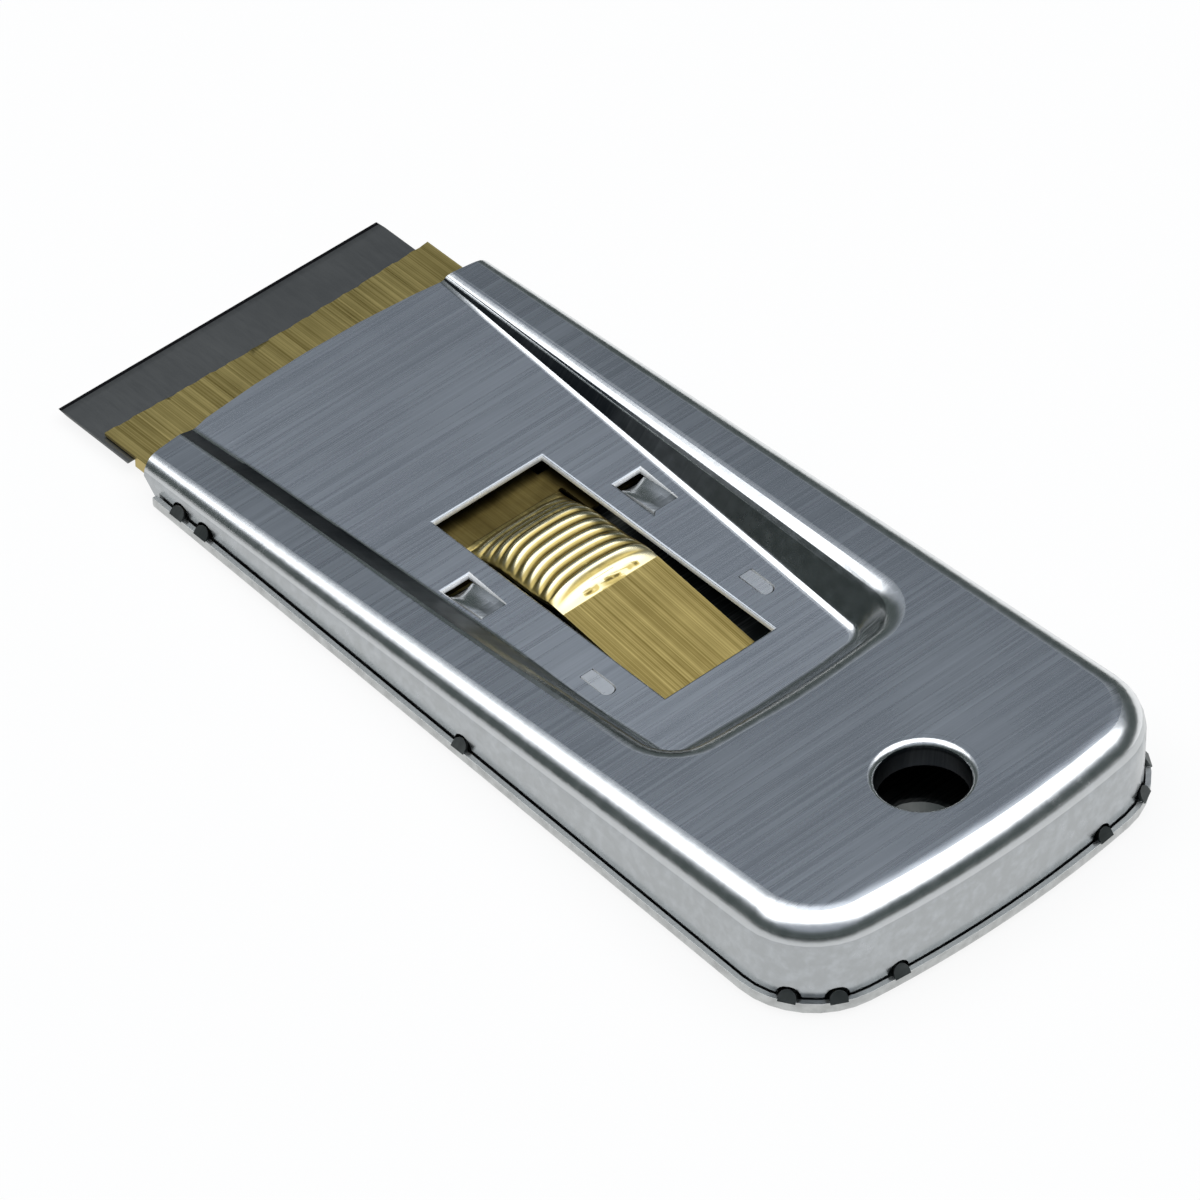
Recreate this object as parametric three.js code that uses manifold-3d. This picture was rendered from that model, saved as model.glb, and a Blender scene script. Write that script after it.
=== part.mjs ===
// Pocket glass scraper: a two-shell sheet-steel case with a spring-brass blade carrier that slides
// the razor blade in and out of the open front.
// Millimetres and degrees. +X right, +Y towards the cutting edge, +Z up, base resting on Z = 0.

import * as THREE from 'three';
import { mergeVertices } from 'three/addons/utils/BufferGeometryUtils.js';
import Module from 'manifold-3d';

// Razor blade with its folded back
const BLADE_WIDTH = 38.1;
const BLADE_DEPTH = 19;
const BLADE_SHEET = 0.25;
const GRIND_DEPTH = 1.2;
const SPINE_DEPTH = 5.5;
const SPINE_SHEET = 0.32;
const SPINE_GAP = 0.1;
const BLADE_SIDE_PLAY = 0.9;
const NOTCH_DEPTH = 1.8;

// Brass blade carrier
const BRASS = 0.35;
const CARRIER_OVERHANG = 0.3;
const SEAT_GAP = 0.15;
const BLADE_EXPOSED = 5.7;
const PLATE_REAR = 12.2;
const PLATE_BOW = 0.6;
const SHOULDER_RUN = 5;
const BEND_RUN = 0.5;
const TAB_FRONT = 1.1;
const TAB_LENGTH = 2.4;
const TAB_GAP = 0.3;
const LIP_REACH = 2.5;
const THUMB_WIDTH = 11.2;
const THUMB_FRONT = 28;
const THUMB_LENGTH = 13.3;
const THUMB_CROWN = 2.6;
const THUMB_REAR_CROWN = 1.7;
const THUMB_SIDE_DROP = 1.3;
const THUMB_REAR_SIDE_DROP = 0.25;
const THUMB_RISE_RUN = 5.2;
const THUMB_FALL_RUN = 1.4;
const THUMB_ROLL_POWER = 2;
const RIDGE_PITCH = 1.12;
const RIDGE_HEIGHT = 0.24;
const RIDGE_ARC = 0.6;
const RIDGE_MARGIN = 0.5;
const TAIL_STEP = 1;
const TAIL_LENGTH = 20;
const TAIL_SLOPE = 7.4;
const EAR_LENGTH = 6.5;
const EAR_REACH = 12;
const EAR_RELIEF = 0.5;
const EAR_BEHIND = 3.8;

// Travel of the carrier
const BLADE_REACH = 11.25;
const EDGE_COVER = 2.15;
const FORWARD_TRAVEL = 2.3;
const RETRACT_TRAVEL = BLADE_REACH + EDGE_COVER;

// Steel case
const SHEET = 0.5;
const SLIDE_TILT = 0.92;
const WEDGE = 3.92;
const FLARE = 0.985;
const SIDE_CLEARANCE = 0.85;
const SLIDE_GAP = 0.35;
const OVERHEAD = 0.65;
const FRONT_BOW = 1.8;
const REAR_ROUND = 120;
const CASE_CORNER = 8;
const EDGE_RADIUS = 1.5;
const EDGE_GROWTH = 0.018;
const WALL_SEAT = 0.15;
const RELIEF_SETBACK = 2;

// Sunk panel in the top cover
const PANEL_FRONT_DEPTH = 0.5;
const FLANK_WIDTH = 3.85;
const FLANK_GROWTH = 2.55;
const RECESS_WALL = 52;
const RECESS_TOP_RADIUS = 2.6;
const RECESS_FOOT_RADIUS = 1.2;
const RECESS_CORNER = 6;
const PANEL_REAR_MARGIN = 6.2;

// Openings in the sunk panel
const WINDOW_SIDE_GAP = 0.8;
const WINDOW_END_GAP = 0.7;
const TONGUE_CENTRE = 10.2;
const TONGUE_WIDTH = 3;
const TONGUE_LENGTH = 5.1;
const TONGUE_GAP = 0.15;
const TONGUE_DISH = 0.35;
const TONGUE_TIP_GAP = 0.7;
const LATCH_GAP = 0.4;
const TIP_CLEARANCE = 0.3;
const LANCE_CENTRE = 9.4;
const LANCE_WIDTH = 1.6;
const LANCE_LENGTH = 3.5;
const LANCE_FROM_TONGUE = 11.2;
const LANCE_DROP = 0.12;

// Hanging hole through both shells
const HOLE_DIAMETER = 8.2;
const HOLE_ROLL = 0.9;
const HOLE_LAND = 10.5;
const HOLE_FROM_RECESS = 14.46;
const COLLAR_LENGTH = 2.6;
const TRAY_COLLAR = 1.3;

// Bottom tray
const RIM_HEIGHT = 1.64;
const RIM_GAP = 0.15;
const RIM_BEND = 0.9;
const TRAY_SETBACK = 3.8;

// Crimps that hold the two shells together
const CRIMP_RADIUS = 1.15;
const CRIMP_GAP = 0.35;
const CRIMP_LEAN = 35;
const CRIMP_ROOT = 0.4;
const SIDE_CRIMP_FRONT = 7.1;
const SIDE_CRIMP_PITCH = 3.4;
const SIDE_CRIMP_MIDDLE = 45.9;
const REAR_CRIMP_SPREAD = 12;
const CORNER_CRIMP_ANGLE = 32;
const CORNER_CRIMP_SPREAD = 30;

// Facets
const CORNER_STEPS = 8;
const END_STEPS = 6;
const FILLET_STEPS = 4;
const ROUND_STEPS = 32;
const RIDGE_STEPS = 6;
const CROWN_STEPS = 12;
const OVERCUT = 4;
const EMBED = 0.03;
const MERGE_STEP = 1e-4;

const wasm = await Module();
wasm.setup();

const rad = THREE.MathUtils.degToRad;
const lerp = THREE.MathUtils.lerp;
const tilt = rad(SLIDE_TILT);
const tiltMatrix = new THREE.Matrix4().makeRotationX(-tilt);

// Heights in the slide frame, above the base at the front edge
const spineThickness = BLADE_SHEET + 2 * (SPINE_GAP + SPINE_SHEET);
const bladeMiddle = SHEET + SLIDE_GAP + spineThickness / 2;
const plateBottom = bladeMiddle + BLADE_SHEET / 2 + SEAT_GAP;
const plateTop = plateBottom + BRASS;
const raisedBottom = bladeMiddle + spineThickness / 2 + SEAT_GAP;
const raisedTop = raisedBottom + BRASS;
const panelUnderside = raisedTop + OVERHEAD;
const panelTop = panelUnderside + SHEET;

// Places along Y, measured from the middle of the case's front edge
const spineRear = BLADE_REACH - BLADE_DEPTH;
const spineFront = spineRear + SPINE_DEPTH;
const plateFront = BLADE_REACH - BLADE_EXPOSED;
const thumbRear = -THUMB_FRONT - THUMB_LENGTH;
const tailRear = thumbRear - TAIL_LENGTH;
const windowFront = -THUMB_FRONT + FORWARD_TRAVEL + WINDOW_END_GAP;
const windowRear = thumbRear - RETRACT_TRAVEL - WINDOW_END_GAP;
const earRear = -THUMB_FRONT - EAR_BEHIND;
const tongueFront = earRear - LATCH_GAP;
const lanceFront = tongueFront - TONGUE_LENGTH - LANCE_FROM_TONGUE;
const panelRear = windowRear - PANEL_REAR_MARGIN;

// Half widths
const plateHalf = BLADE_WIDTH / 2 + CARRIER_OVERHANG;
const caseHalf = plateHalf + SIDE_CLEARANCE + SHEET;
const thumbHalf = THUMB_WIDTH / 2;
const windowHalf = thumbHalf + WINDOW_SIDE_GAP;

// Height of the sunk panel and of the flanks beside it, at a place along the case
const panelZ = (y) => (panelTop - y * Math.sin(tilt)) / Math.cos(tilt);
const flankZ = (y) => panelZ(0) + PANEL_FRONT_DEPTH - y * Math.tan(rad(WEDGE));
// Slope and run of the recess wall for a depth: where the wall is low, its two roundings meet
const recessRounding = RECESS_TOP_RADIUS + RECESS_FOOT_RADIUS;
const recessSlope = (depth) => {
  const meeting = Math.acos(1 - depth / Math.max(recessRounding, depth));
  return Math.min(rad(RECESS_WALL), meeting);
};
const recessRun = (depth) => {
  const slope = recessSlope(depth);
  const straight = depth - recessRounding * (1 - Math.cos(slope));
  return recessRounding * Math.sin(slope) + straight / Math.tan(slope);
};
const recessRear = panelRear - recessRun(flankZ(panelRear) - panelZ(panelRear));
const holeY = recessRear - HOLE_FROM_RECESS;
const caseRear = holeY - HOLE_LAND;
const caseMiddle = caseRear / 2;

// Joins and cuts

function asSolid(geometry) {
  const bare = geometry.clone();
  bare.deleteAttribute('normal');
  bare.deleteAttribute('uv');
  const merged = mergeVertices(bare, MERGE_STEP);
  return new wasm.Manifold(new wasm.Mesh({
    numProp: 3,
    vertProperties: new Float32Array(merged.attributes.position.array),
    triVerts: new Uint32Array(merged.index.array),
  }));
}

function asGeometry(solid) {
  const mesh = solid.getMesh();
  const geometry = new THREE.BufferGeometry();
  geometry.setAttribute('position', new THREE.BufferAttribute(mesh.vertProperties, 3));
  geometry.setIndex(new THREE.BufferAttribute(mesh.triVerts, 1));
  geometry.computeVertexNormals();
  return geometry;
}

const joinAll = (solids) => solids.reduce((whole, solid) => whole.add(solid));

// A flat outline raised between two heights
function prism(shape, low, high) {
  const options = { depth: high - low, bevelEnabled: false, curveSegments: CORNER_STEPS };
  return new THREE.ExtrudeGeometry(shape, options).translate(0, 0, low);
}

// A side profile of (y, z) points carried across the width from left to right
function across(points, left, right) {
  const shape = new THREE.Shape(points.map(([y, z]) => new THREE.Vector2(y, z)));
  const geometry = new THREE.ExtrudeGeometry(shape, { depth: right - left, bevelEnabled: false });
  const turn = new THREE.Matrix4().set(0, 0, 1, left, 1, 0, 0, 0, 0, 1, 0, 0, 0, 0, 0, 1);
  return geometry.applyMatrix4(turn);
}

const outlineShape = (points) => new THREE.Shape(points.map(([x, y]) => new THREE.Vector2(x, y)));

const mirrored = (points) => points.map(([x, y]) => [-x, y]).reverse();

// Plan outlines: straight flared sides, round rear corners and a gently bowed rear edge

class Outline {
  constructor({ frontHalf, flare, front, rear, corner }) {
    Object.assign(this, { frontHalf, flare, front, rear, corner });
    this.centreX = this.half(rear + corner) - corner;
    const drop = Math.sqrt((REAR_ROUND - corner) ** 2 - this.centreX ** 2);
    this.centreY = rear + REAR_ROUND - drop;
    this.lean = Math.asin(this.centreX / (REAR_ROUND - corner));
  }

  half(y) {
    return this.frontHalf - y * Math.tan(this.flare);
  }

  // A place on the right-hand round corner, by its angle from the side towards the rear
  cornerAt(angle) {
    const nx = Math.cos(angle);
    const ny = -Math.sin(angle);
    return { x: this.centreX + this.corner * nx, y: this.centreY + this.corner * ny, nx, ny };
  }

  // A place on the rear edge, by its angle at the centre of the rear bow
  rearAt(angle) {
    const nx = Math.sin(angle);
    const ny = -Math.cos(angle);
    return { x: REAR_ROUND * nx, y: this.rear + REAR_ROUND + REAR_ROUND * ny, nx, ny };
  }

  sideAt(y) {
    return { x: this.half(y), y, nx: 1, ny: 0 };
  }

  // Points with outward normals, anticlockwise from the front right corner
  points() {
    const right = [];
    for (let i = 0; i < END_STEPS; i += 1) {
      right.push(this.rearAt(this.lean * i / END_STEPS));
    }
    for (let i = 0; i < CORNER_STEPS; i += 1) {
      right.push(this.cornerAt((Math.PI / 2 - this.lean) * (1 - i / CORNER_STEPS)));
    }
    right.push(this.sideAt(this.centreY));
    right.push({ x: this.half(this.front), y: this.front, nx: 1, ny: 1 });
    const left = right.slice(1).reverse().map((p) => ({ x: -p.x, y: p.y, nx: -p.nx, ny: p.ny }));
    return [...right, ...left];
  }

  // A ring of points set in from the outline, with the inset and height given at each place
  ring(inset, height) {
    return this.points().map((p) => {
      const depth = inset(p.y);
      const x = p.x - p.nx * depth;
      const y = p.y - p.ny * depth;
      return new THREE.Vector3(x, y, height(y, p.y));
    });
  }
}

// A closed body through rings of equal count, capped on the first and last ring
function loft(rings) {
  const count = rings[0].length;
  const positions = rings.flat().flatMap((p) => [p.x, p.y, p.z]);
  const faces = [];
  for (let ring = 0; ring < rings.length - 1; ring += 1) {
    for (let i = 0; i < count; i += 1) {
      const a = ring * count + i;
      const b = ring * count + (i + 1) % count;
      faces.push(a, a + count, b + count, a, b + count, b);
    }
  }
  const plan = (ring) => ring.map((p) => new THREE.Vector2(p.x, p.y));
  const cap = (ring) => THREE.ShapeUtils.triangulateShape(plan(ring), []);
  const last = (rings.length - 1) * count;
  cap(rings[0]).forEach(([a, b, c]) => faces.push(a, b, c));
  cap(rings[rings.length - 1]).forEach(([a, b, c]) => faces.push(last + a, last + c, last + b));
  const geometry = new THREE.BufferGeometry();
  geometry.setAttribute('position', new THREE.Float32BufferAttribute(positions, 3));
  geometry.setIndex(faces);
  return geometry;
}

const steps = (count, from, to) => Array.from({ length: count + 1 }, (_, i) => lerp(from, to, i / count));

// Top cover: a lid with rounded edges and a sunk panel that deepens towards the rear

const caseOutline = new Outline({
  frontHalf: caseHalf,
  flare: rad(FLARE),
  front: 2 * OVERCUT,
  rear: caseRear,
  corner: CASE_CORNER,
});

const recessFrontHalf = caseHalf - FLANK_WIDTH;
const recessRearHalf = caseOutline.half(recessRear) - FLANK_WIDTH - FLANK_GROWTH;

const recessOutline = new Outline({
  frontHalf: recessFrontHalf,
  flare: Math.atan((recessFrontHalf - recessRearHalf) / recessRear),
  front: OVERCUT,
  rear: recessRear,
  corner: RECESS_CORNER,
});

// Stations across the recess wall, from the flat panel out to the flank. For a local depth each gives
// its slope, how far it lies inside the rim and how far below the flank.
function recessStations() {
  const foot = steps(FILLET_STEPS, 0, 1).map((share) => ({
    slope: (depth) => share * recessSlope(depth),
    inset: (depth) => recessRun(depth) - RECESS_FOOT_RADIUS * Math.sin(share * recessSlope(depth)),
    drop: (depth) => depth - RECESS_FOOT_RADIUS * (1 - Math.cos(share * recessSlope(depth))),
  }));
  const top = steps(FILLET_STEPS, 1, 0).map((share) => ({
    slope: (depth) => share * recessSlope(depth),
    inset: (depth) => RECESS_TOP_RADIUS * Math.sin(share * recessSlope(depth)),
    drop: (depth) => RECESS_TOP_RADIUS * (1 - Math.cos(share * recessSlope(depth))),
  }));
  return [...foot, ...top];
}

const depthAt = (y) => flankZ(y) - panelZ(y);

// One ring of the recess, on the outer face or pushed through the sheet to the inner face
function recessRing({ slope, inset, drop }, sheet) {
  const setIn = (y) => inset(depthAt(y)) - sheet * Math.sin(slope(depthAt(y)));
  const height = (y, rimY) => {
    const depth = depthAt(rimY);
    return flankZ(y) - depthAt(y) * drop(depth) / depth - sheet * Math.cos(slope(depth));
  };
  return recessOutline.ring(setIn, height);
}

const edgeRadius = (y) => EDGE_RADIUS - y * EDGE_GROWTH;

// One ring of the rounded outer edge, by its turn from the flank (0) down to the wall
function edgeRing(turn, sheet) {
  const aside = Math.sin(turn);
  const upward = Math.cos(turn);
  const inset = (y) => edgeRadius(y) * (1 - aside) + sheet * aside;
  const height = (y, edgeY) => flankZ(y) - edgeRadius(edgeY) * (1 - upward) - sheet * upward;
  return caseOutline.ring(inset, height);
}

const wallFoot = SHEET + WALL_SEAT;

function lidSkin(sheet) {
  const recess = recessStations().map((station) => recessRing(station, sheet));
  const edge = steps(FILLET_STEPS + 2, 0, Math.PI / 2).map((turn) => edgeRing(turn, sheet));
  const foot = caseOutline.ring(() => sheet, () => wallFoot);
  return [...recess, ...edge, foot];
}

function lidShell() {
  return asSolid(loft([...lidSkin(0), ...lidSkin(SHEET).reverse()]));
}

// The open front: a bowed cut across the lid, and the lower front corners of the walls cut back
function frontCut() {
  const reach = caseOutline.half(0) + OVERCUT;
  const far = caseOutline.front + OVERCUT;
  const bow = FRONT_BOW * (reach / caseHalf) ** 2;
  const shape = new THREE.Shape();
  shape.moveTo(reach, far);
  shape.lineTo(-reach, far);
  shape.lineTo(-reach, -bow);
  shape.quadraticCurveTo(0, bow, reach, -bow);
  return asSolid(prism(shape, -OVERCUT, flankZ(0) + OVERCUT));
}

function wallRelief(side) {
  const high = flankZ(0) - edgeRadius(0);
  const far = caseOutline.front + OVERCUT;
  const back = -FRONT_BOW - RELIEF_SETBACK;
  const profile = [[far, -OVERCUT], [far, high], [-FRONT_BOW, high], [back, wallFoot], [back, -OVERCUT]];
  const inner = caseHalf - EDGE_RADIUS;
  const outer = caseHalf + OVERCUT;
  return asSolid(side > 0 ? across(profile, inner, outer) : across(profile, -outer, -inner));
}

// Cutters and tongues of the sunk panel are drawn in the slide frame and tilted with it

const tilted = (geometry) => asSolid(geometry.applyMatrix4(tiltMatrix));

const throughPanel = (shape) => tilted(prism(shape, panelUnderside - OVERCUT, panelTop + OVERCUT));

function rectangle(centreX, halfX, front, rear) {
  return outlineShape([[centreX - halfX, rear], [centreX + halfX, rear], [centreX + halfX, front],
    [centreX - halfX, front]]);
}

// A tab rooted at its straight front edge with a round free end to the rear
function roundTab(centreX, halfX, front, rear) {
  const shape = new THREE.Shape();
  shape.moveTo(centreX + halfX, front);
  shape.lineTo(centreX - halfX, front);
  shape.lineTo(centreX - halfX, rear + halfX);
  shape.absarc(centreX, rear + halfX, halfX, Math.PI, 2 * Math.PI, false);
  return shape;
}

const tongueRear = tongueFront - TONGUE_LENGTH;
const tongueTipTop = plateTop + TIP_CLEARANCE + SHEET;

// Latch tongue: rooted at the rear of its hole, curling down to a free tip with raised sides
function latchTongue(centreX) {
  const root = tongueRear - SHEET;
  const tip = tongueFront - TONGUE_TIP_GAP;
  const half = TONGUE_WIDTH / 2 - TONGUE_GAP;
  const height = (x, y) => {
    const share = (y - root) / (tip - root);
    const aside = (x - centreX) / half;
    return lerp(panelTop - EMBED, tongueTipTop, share ** 2) + TONGUE_DISH * share * aside ** 2;
  };
  const xs = steps(FILLET_STEPS, centreX - half, centreX + half);
  const ys = steps(CORNER_STEPS, tip, root);
  return tilted(fieldSheet(xs, ys, height, SHEET - 2 * EMBED));
}

const lanceRear = lanceFront - LANCE_LENGTH;

// Lance: a short round-ended tab rooted at its front and pressed down at the rear
function lance(centreX) {
  const half = LANCE_WIDTH / 2 - TONGUE_GAP;
  const root = lanceFront + SHEET;
  const plan = throughPanel(roundTab(centreX, half, root, lanceRear + TONGUE_GAP));
  const slope = [[root, panelTop - EMBED], [lanceRear, panelTop - LANCE_DROP],
    [lanceRear, panelUnderside - LANCE_DROP], [root, panelUnderside + EMBED]];
  return plan.intersect(tilted(across(slope, centreX - half, centreX + half)));
}

// Rolled collar of the hanging hole: a sheet that turns down (or up) round a ring
function rolledCollar(boreRadius, length) {
  const outer = boreRadius + HOLE_ROLL;
  const bend = (radius) => steps(FILLET_STEPS + 2, 0, Math.PI / 2).map((turn) => [
    outer - radius * Math.sin(turn), radius * Math.cos(turn) - HOLE_ROLL]);
  const face = bend(HOLE_ROLL);
  const back = bend(HOLE_ROLL - SHEET);
  const rim = outer + SHEET;
  const section = [[rim, -EMBED], ...face.map(([r, z]) => [r, Math.min(z, -EMBED)]), [boreRadius, -length],
    [boreRadius + SHEET, -length], ...back.reverse().map(([r, z]) => [r, Math.max(z, -SHEET + EMBED)]),
    [rim, -SHEET + EMBED], [rim, -EMBED]];
  const points = section.map(([r, z]) => new THREE.Vector2(r, z));
  return new THREE.LatheGeometry(points, ROUND_STEPS).rotateX(Math.PI / 2);
}

const boreRadius = HOLE_DIAMETER / 2;
const seatRadius = boreRadius + HOLE_ROLL + SHEET / 2;

function holeCutter(radius, low, high) {
  const geometry = new THREE.CylinderGeometry(radius, radius, high - low, ROUND_STEPS);
  return geometry.rotateX(Math.PI / 2).translate(0, 0, (low + high) / 2);
}

const onFlank = (geometry) => asSolid(geometry.rotateX(-rad(WEDGE)).translate(0, holeY, flankZ(holeY)));

// Places of the crimps round the case wall
function crimpPlaces() {
  const sides = [SIDE_CRIMP_FRONT, SIDE_CRIMP_FRONT + SIDE_CRIMP_PITCH, SIDE_CRIMP_MIDDLE];
  const right = sides.map((y) => caseOutline.sideAt(-y));
  right.push(caseOutline.cornerAt(rad(CORNER_CRIMP_ANGLE)));
  right.push(caseOutline.cornerAt(rad(CORNER_CRIMP_ANGLE + CORNER_CRIMP_SPREAD)));
  right.push(caseOutline.rearAt(Math.asin(REAR_CRIMP_SPREAD / REAR_ROUND)));
  const left = right.map((p) => ({ x: -p.x, y: p.y, nx: -p.nx, ny: p.ny }));
  return [...right, ...left];
}

// Frame at a crimp: X along the outward normal, Y along the wall, Z up
function crimpFrame({ x, y, nx, ny }) {
  return new THREE.Matrix4().set(nx, -ny, 0, x, ny, nx, 0, y, 0, 0, 1, RIM_HEIGHT, 0, 0, 0, 1);
}

function crimpNotch(place) {
  const length = 2 * OVERCUT * SHEET;
  const geometry = new THREE.CylinderGeometry(CRIMP_RADIUS, CRIMP_RADIUS, length, ROUND_STEPS / 2);
  return asSolid(geometry.rotateZ(Math.PI / 2).applyMatrix4(crimpFrame(place)));
}

// Crimp tab: a half-round ear of the tray's rim, pressed into the notch above it
function crimpTab(place) {
  const radius = CRIMP_RADIUS - CRIMP_GAP;
  const shape = new THREE.Shape();
  shape.moveTo(-radius, -CRIMP_ROOT);
  shape.lineTo(radius, -CRIMP_ROOT);
  shape.lineTo(radius, 0);
  shape.absarc(0, 0, radius, 0, Math.PI, false);
  const flat = prism(shape, 0, SHEET - 2 * EMBED);
  const upright = new THREE.Matrix4().set(0, 0, 1, 0, 1, 0, 0, 0, 0, 1, 0, 0, 0, 0, 0, 1);
  flat.applyMatrix4(upright).rotateY(-rad(CRIMP_LEAN)).translate(RIM_GAP + EMBED, 0, 0);
  return asSolid(flat.applyMatrix4(crimpFrame(place)));
}

function topCover() {
  const window = throughPanel(rectangle(0, windowHalf, windowFront, windowRear));
  const sides = [-1, 1];
  const tongueHoles = sides.map((side) => throughPanel(
    rectangle(side * TONGUE_CENTRE, TONGUE_WIDTH / 2, tongueFront, tongueRear)));
  const lanceHoles = sides.map((side) => throughPanel(
    roundTab(side * LANCE_CENTRE, LANCE_WIDTH / 2, lanceFront, lanceRear)));
  const hole = onFlank(holeCutter(seatRadius, -OVERCUT, OVERCUT));
  const cuts = [frontCut(), ...sides.map(wallRelief), window, ...tongueHoles, ...lanceHoles, hole,
    ...crimpPlaces().map(crimpNotch)];
  const tongues = sides.map((side) => latchTongue(side * TONGUE_CENTRE));
  const lances = sides.map((side) => lance(side * LANCE_CENTRE));
  const collar = onFlank(rolledCollar(boreRadius, COLLAR_LENGTH));
  return joinAll([lidShell().subtract(joinAll(cuts)), ...tongues, ...lances, collar]);
}

// Bottom tray: a flat floor with a low rim that stands outside the cover's wall

function trayRings(offset, radius, floor) {
  const bend = steps(FILLET_STEPS, 0, Math.PI / 2).map((turn) => caseOutline.ring(
    () => -offset + radius * (1 - Math.sin(turn)), () => floor + radius * (1 - Math.cos(turn))));
  return [...bend, caseOutline.ring(() => -offset, () => RIM_HEIGHT)];
}

function bottomTray() {
  const inside = trayRings(RIM_GAP, RIM_BEND - SHEET, SHEET);
  const outside = trayRings(RIM_GAP + SHEET, RIM_BEND, 0);
  const pan = asSolid(loft([...inside, ...outside.reverse()]));
  const wide = caseOutline.half(0) + 2 * OVERCUT;
  const far = caseOutline.front + 2 * OVERCUT;
  const front = asSolid(prism(rectangle(0, wide, far, -TRAY_SETBACK), -OVERCUT, RIM_HEIGHT + OVERCUT));
  const hole = asSolid(holeCutter(seatRadius, -OVERCUT, OVERCUT).translate(0, holeY, 0));
  const upturned = rolledCollar(boreRadius, HOLE_ROLL + TRAY_COLLAR).rotateX(Math.PI);
  const collar = asSolid(upturned.translate(0, holeY, 0));
  return joinAll([pan.subtract(front).subtract(hole), collar, ...crimpPlaces().map(crimpTab)]);
}

// Blade carrier: one brass stamping with a wide plate over the blade, a ridged thumb rest and a tail

// Wide plate: hollowed front edge, bent up over the blade's folded back, narrowing to the thumb strip
function carrierPlate() {
  const stripRoot = -PLATE_REAR - SHOULDER_RUN - thumbHalf;
  const stepFront = spineFront + SEAT_GAP + BEND_RUN;
  const stepRear = spineRear - SEAT_GAP - BEND_RUN;
  const top = [[plateFront, plateTop], [stepFront, plateTop], [stepFront - BEND_RUN, raisedTop],
    [stepRear + BEND_RUN, raisedTop], [stepRear, plateTop], [stripRoot, plateTop]];
  const bottom = [[stripRoot, plateBottom], [stepRear, plateBottom], [stepRear + BEND_RUN, raisedBottom],
    [stepFront - BEND_RUN, raisedBottom], [stepFront, plateBottom], [plateFront, plateBottom]];
  const sheet = asSolid(across([...top, ...bottom], -plateHalf, plateHalf));
  const shape = new THREE.Shape();
  shape.moveTo(plateHalf + OVERCUT, plateFront);
  shape.quadraticCurveTo(0, plateFront - 2 * PLATE_BOW, -plateHalf - OVERCUT, plateFront);
  shape.lineTo(-plateHalf - OVERCUT, -PLATE_REAR);
  shape.lineTo(-plateHalf, -PLATE_REAR);
  shape.quadraticCurveTo(-thumbHalf, -PLATE_REAR, -thumbHalf, -PLATE_REAR - SHOULDER_RUN);
  shape.lineTo(-thumbHalf, stripRoot - OVERCUT);
  shape.lineTo(thumbHalf, stripRoot - OVERCUT);
  shape.lineTo(thumbHalf, -PLATE_REAR - SHOULDER_RUN);
  shape.quadraticCurveTo(thumbHalf, -PLATE_REAR, plateHalf, -PLATE_REAR);
  shape.lineTo(plateHalf + OVERCUT, -PLATE_REAR);
  return sheet.intersect(asSolid(prism(shape, 0, panelTop)));
}

// Side tab: turned down through the blade's end notch, with a lip under the blade
function carrierTab(side) {
  const lipTop = bladeMiddle - BLADE_SHEET / 2 - SEAT_GAP;
  const lipBottom = lipTop - BRASS;
  const legInner = plateHalf - BRASS;
  const section = [[plateHalf, lipBottom], [plateHalf, plateTop], [legInner - BRASS, plateTop],
    [legInner - BRASS, plateBottom], [legInner, plateBottom], [legInner, lipTop],
    [plateHalf - LIP_REACH, lipTop], [plateHalf - LIP_REACH, lipBottom]];
  const shape = outlineShape(side > 0 ? section : mirrored(section));
  const geometry = new THREE.ExtrudeGeometry(shape, { depth: TAB_LENGTH, bevelEnabled: false });
  return asSolid(geometry.rotateX(Math.PI / 2).translate(0, TAB_FRONT, 0));
}

// Latch ear: a wing of the thumb strip that stands in front of the cover's latch tongue
function latchEar(side) {
  const front = earRear + EAR_LENGTH;
  const root = thumbHalf - BRASS;
  const relieved = thumbHalf + EAR_RELIEF;
  const wing = [[root, -THUMB_FRONT], [relieved, -THUMB_FRONT], [relieved, earRear], [EAR_REACH, earRear],
    [EAR_REACH, front], [root, front]];
  const shape = outlineShape(side > 0 ? wing : mirrored(wing));
  return asSolid(prism(shape, plateBottom, plateTop));
}

const ease = (t) => THREE.MathUtils.smoothstep(t, 0, 1);

// Height of the thumb strip's upper face: flat neck, crowned and ridged thumb rest, sloping tail
function stripHeight(x, y) {
  const behindFront = -THUMB_FRONT - y;
  const behindRear = thumbRear - y;
  const rise = ease(behindFront / THUMB_RISE_RUN);
  const fall = THREE.MathUtils.clamp(behindRear / THUMB_FALL_RUN + 1, 0, 1) ** THUMB_ROLL_POWER;
  const aside = Math.abs(x) / thumbHalf;
  const along = THREE.MathUtils.clamp(behindFront / THUMB_LENGTH, 0, 1);
  const sideDrop = lerp(THUMB_SIDE_DROP, THUMB_REAR_SIDE_DROP, along);
  const crown = lerp(THUMB_CROWN, THUMB_REAR_CROWN, along ** 2) - sideDrop * aside ** 3;
  const phase = (behindFront - RIDGE_MARGIN - RIDGE_ARC * aside ** 2) / RIDGE_PITCH;
  const ridgeShade = ease(behindFront / RIDGE_PITCH) * (1 - aside ** 6);
  const ridge = RIDGE_HEIGHT * ridgeShade * (0.5 - 0.5 * Math.cos(2 * Math.PI * phase));
  const tail = TAIL_STEP * fall - Math.max(behindRear, 0) * Math.tan(rad(TAIL_SLOPE));
  return plateTop + (rise * crown + ridge) * (1 - fall) + tail;
}

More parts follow.
